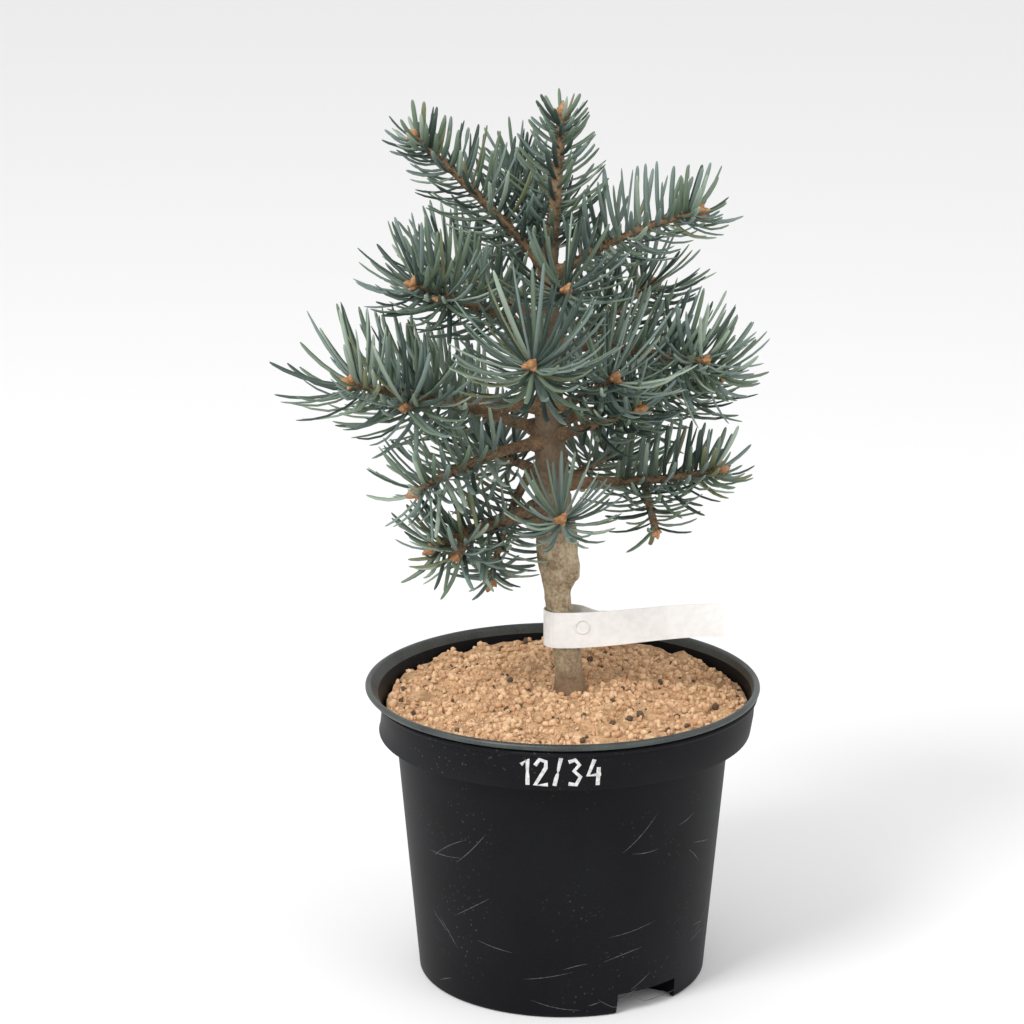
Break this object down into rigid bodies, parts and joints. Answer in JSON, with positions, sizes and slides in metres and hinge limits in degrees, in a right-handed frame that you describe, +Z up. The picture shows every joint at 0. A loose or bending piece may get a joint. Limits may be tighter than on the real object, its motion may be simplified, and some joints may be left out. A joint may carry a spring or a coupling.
{
  "type": "potted dwarf conifer",
  "caption": "Young compact blue-green fir with a grafted trunk, in a round black plastic nursery pot with a white loop label.",
  "frame": {"origin": "middle of the pot's flat underside", "axes": "+Z up along the pot's axis to the leader's tip, -Y towards the viewer of the picture, +X to the right"},
  "size_m": [0.2288, 0.243, 0.4318],
  "materials": {
    "pot plastic": "matt black, thin-walled, scuffed and dusty",
    "potting mix": "loose tan bark and peat crumb",
    "trunk bark": "grey-brown, wrinkled, matt",
    "bough bark": "brown, rough, matt",
    "needles": "blue-green, waxy bloom, satin",
    "label film": "white synthetic film, satin, lightly soiled"
  },
  "bodies": {
    "root": {"pot": "pot plastic", "soil": "potting mix", "trunk": "trunk bark", "label": "label film", "bough_upper_left": "bough bark", "bough_upper_right": "bough bark", "bough_upper_back": "bough bark", "bough_upper_front": "bough bark", "bough_left_high": "bough bark", "bough_front_centre": "bough bark", "bough_right_front": "bough bark", "bough_right_high": "bough bark", "bough_back_left_high": "bough bark", "bough_back_right_high": "bough bark", "bough_left_long": "bough bark", "bough_left_back": "bough bark", "bough_back_middle": "bough bark", "bough_right_back": "bough bark", "bough_right_middle": "bough bark", "bough_left_low": "bough bark", "bough_right_low": "bough bark", "bough_front_low": "bough bark", "bough_left_lowest": "bough bark", "bough_left_hanging": "bough bark", "bough_back_left_low": "bough bark", "bough_back_right_low": "bough bark", "foliage_upper_left": "needles", "foliage_upper_right": "needles", "foliage_upper_back": "needles", "foliage_upper_front": "needles", "foliage_left_high": "needles", "foliage_front_centre": "needles", "foliage_right_front": "needles", "foliage_right_high": "needles", "foliage_back_left_high": "needles", "foliage_back_right_high": "needles", "foliage_left_long": "needles", "foliage_left_back": "needles", "foliage_back_middle": "needles", "foliage_right_back": "needles", "foliage_right_middle": "needles", "foliage_left_low": "needles", "foliage_right_low": "needles", "foliage_front_low": "needles", "foliage_left_lowest": "needles", "foliage_left_hanging": "needles", "foliage_back_left_low": "needles", "foliage_back_right_low": "needles", "foliage_leader": "needles"}
  },
  "joints": []
}
